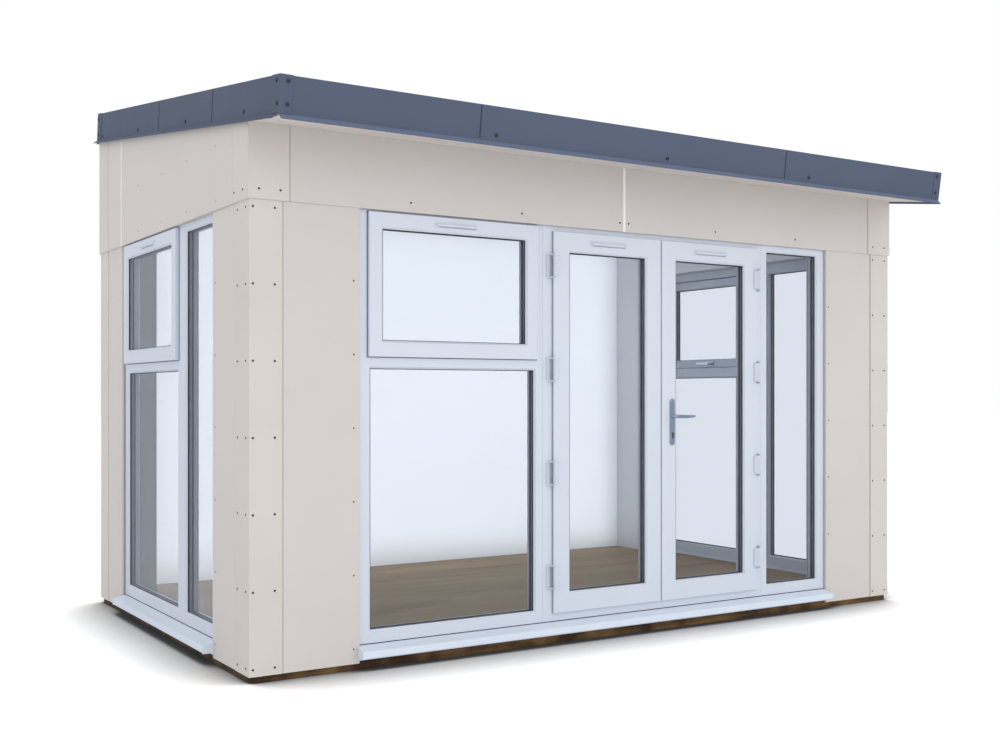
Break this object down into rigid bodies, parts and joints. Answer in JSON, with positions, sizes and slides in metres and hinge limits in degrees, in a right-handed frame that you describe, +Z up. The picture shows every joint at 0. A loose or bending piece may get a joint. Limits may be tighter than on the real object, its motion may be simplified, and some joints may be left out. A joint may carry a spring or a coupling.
{
  "type": "garden office pod",
  "caption": "Flat-pack garden office room with a low single-pitch roof, a glazed front with a pair of outward doors, and corner windows.",
  "frame": {"origin": "middle of the wall footprint on the ground, on the underside of the middle floor joist", "axes": "+X to the right along the front as seen from outside, +Y from the front doors to the rear wall, +Z up"},
  "size_m": [4.097, 2.8727, 2.8878],
  "materials": {
    "bearer_timber": "dark stained sawn softwood",
    "floor_board": "bare flooring board with a pale brown vinyl wood pattern",
    "wall_lining": "satin white faced insulated panel",
    "cladding_board": "fine fleck render-effect board, matt",
    "corner_trim": "matt warm greige coated sheet",
    "joint_strip": "satin cream white",
    "roof_membrane": "matt dark roofing rubber",
    "roof_edge_metal": "satin slate grey coated steel",
    "white_plastic": "smooth white frame plastic, soft gloss",
    "glass": "clear double glazing",
    "handle_chrome": "polished chrome plate",
    "lock_metal": "satin nickel"
  },
  "bodies": {
    "root": {"base_rim_bearers": "bearer_timber", "base_joists": "bearer_timber", "floor_deck": "floor_board", "front_wall_left_pier": "wall_lining", "front_wall_right_pier": "wall_lining", "front_wall_header": "wall_lining", "rear_wall": "wall_lining", "left_wall_front_pier": "wall_lining", "left_wall_rear_pier": "wall_lining", "left_wall_header": "wall_lining", "right_wall_front_pier": "wall_lining", "right_wall_rear_pier": "wall_lining", "right_wall_header": "wall_lining", "front_cladding": "cladding_board", "side_cladding": "cladding_board", "rear_cladding": "cladding_board", "front_header_band": "cladding_board", "side_header_bands": "cladding_board", "rear_header_band": "cladding_board", "header_joint_strips": "joint_strip", "lower_corner_trims": "corner_trim", "upper_corner_trims": "corner_trim", "roof_deck": "wall_lining", "roof_membrane": "roof_membrane", "soffit_board": "corner_trim", "front_fascia": "roof_edge_metal", "rear_fascia": "roof_edge_metal", "side_fascias": "roof_edge_metal", "fascia_corner_caps": "roof_edge_metal", "front_window_frame": "white_plastic", "front_sidelight_frame": "white_plastic", "left_window_frame": "white_plastic", "left_sidelight_frame": "white_plastic", "right_window_frame": "white_plastic", "right_sidelight_frame": "white_plastic", "opener_sashes": "white_plastic", "window_handles": "handle_chrome", "window_glass": "glass", "door_frame": "white_plastic", "frame_hinges": "white_plastic", "window_vents": "white_plastic", "window_sills": "white_plastic"},
    "left_door": {"left_door_leaf": "white_plastic", "left_door_glass": "glass", "left_door_hinges": "white_plastic", "left_door_vent": "white_plastic"},
    "right_door": {"right_door_leaf": "white_plastic", "right_door_glass": "glass", "right_door_hinges": "white_plastic", "right_door_vent": "white_plastic", "handle_backplates": "handle_chrome", "lock_cylinder": "lock_metal"},
    "lever": {"door_lever": "handle_chrome"}
  },
  "joints": [
    {"name": "left_door_hinge", "type": "hinge", "parent": "root", "child": "left_door", "pos_m": [-0.434, -1.227, 1.09], "axis": [0, 0, -1], "range_deg": [0, 100]},
    {"name": "right_door_hinge", "type": "hinge", "parent": "root", "child": "right_door", "pos_m": [0.942, -1.227, 1.09], "axis": [0, 0, 1], "range_deg": [0, 100]},
    {"name": "lever_hinge", "type": "hinge", "parent": "right_door", "child": "lever", "pos_m": [0.3255, -1.21, 1.111], "axis": [0, 1, 0], "range_deg": [-45, 45], "stiffness_Nm_per_rad": 6, "springref_deg": -1.72}
  ]
}
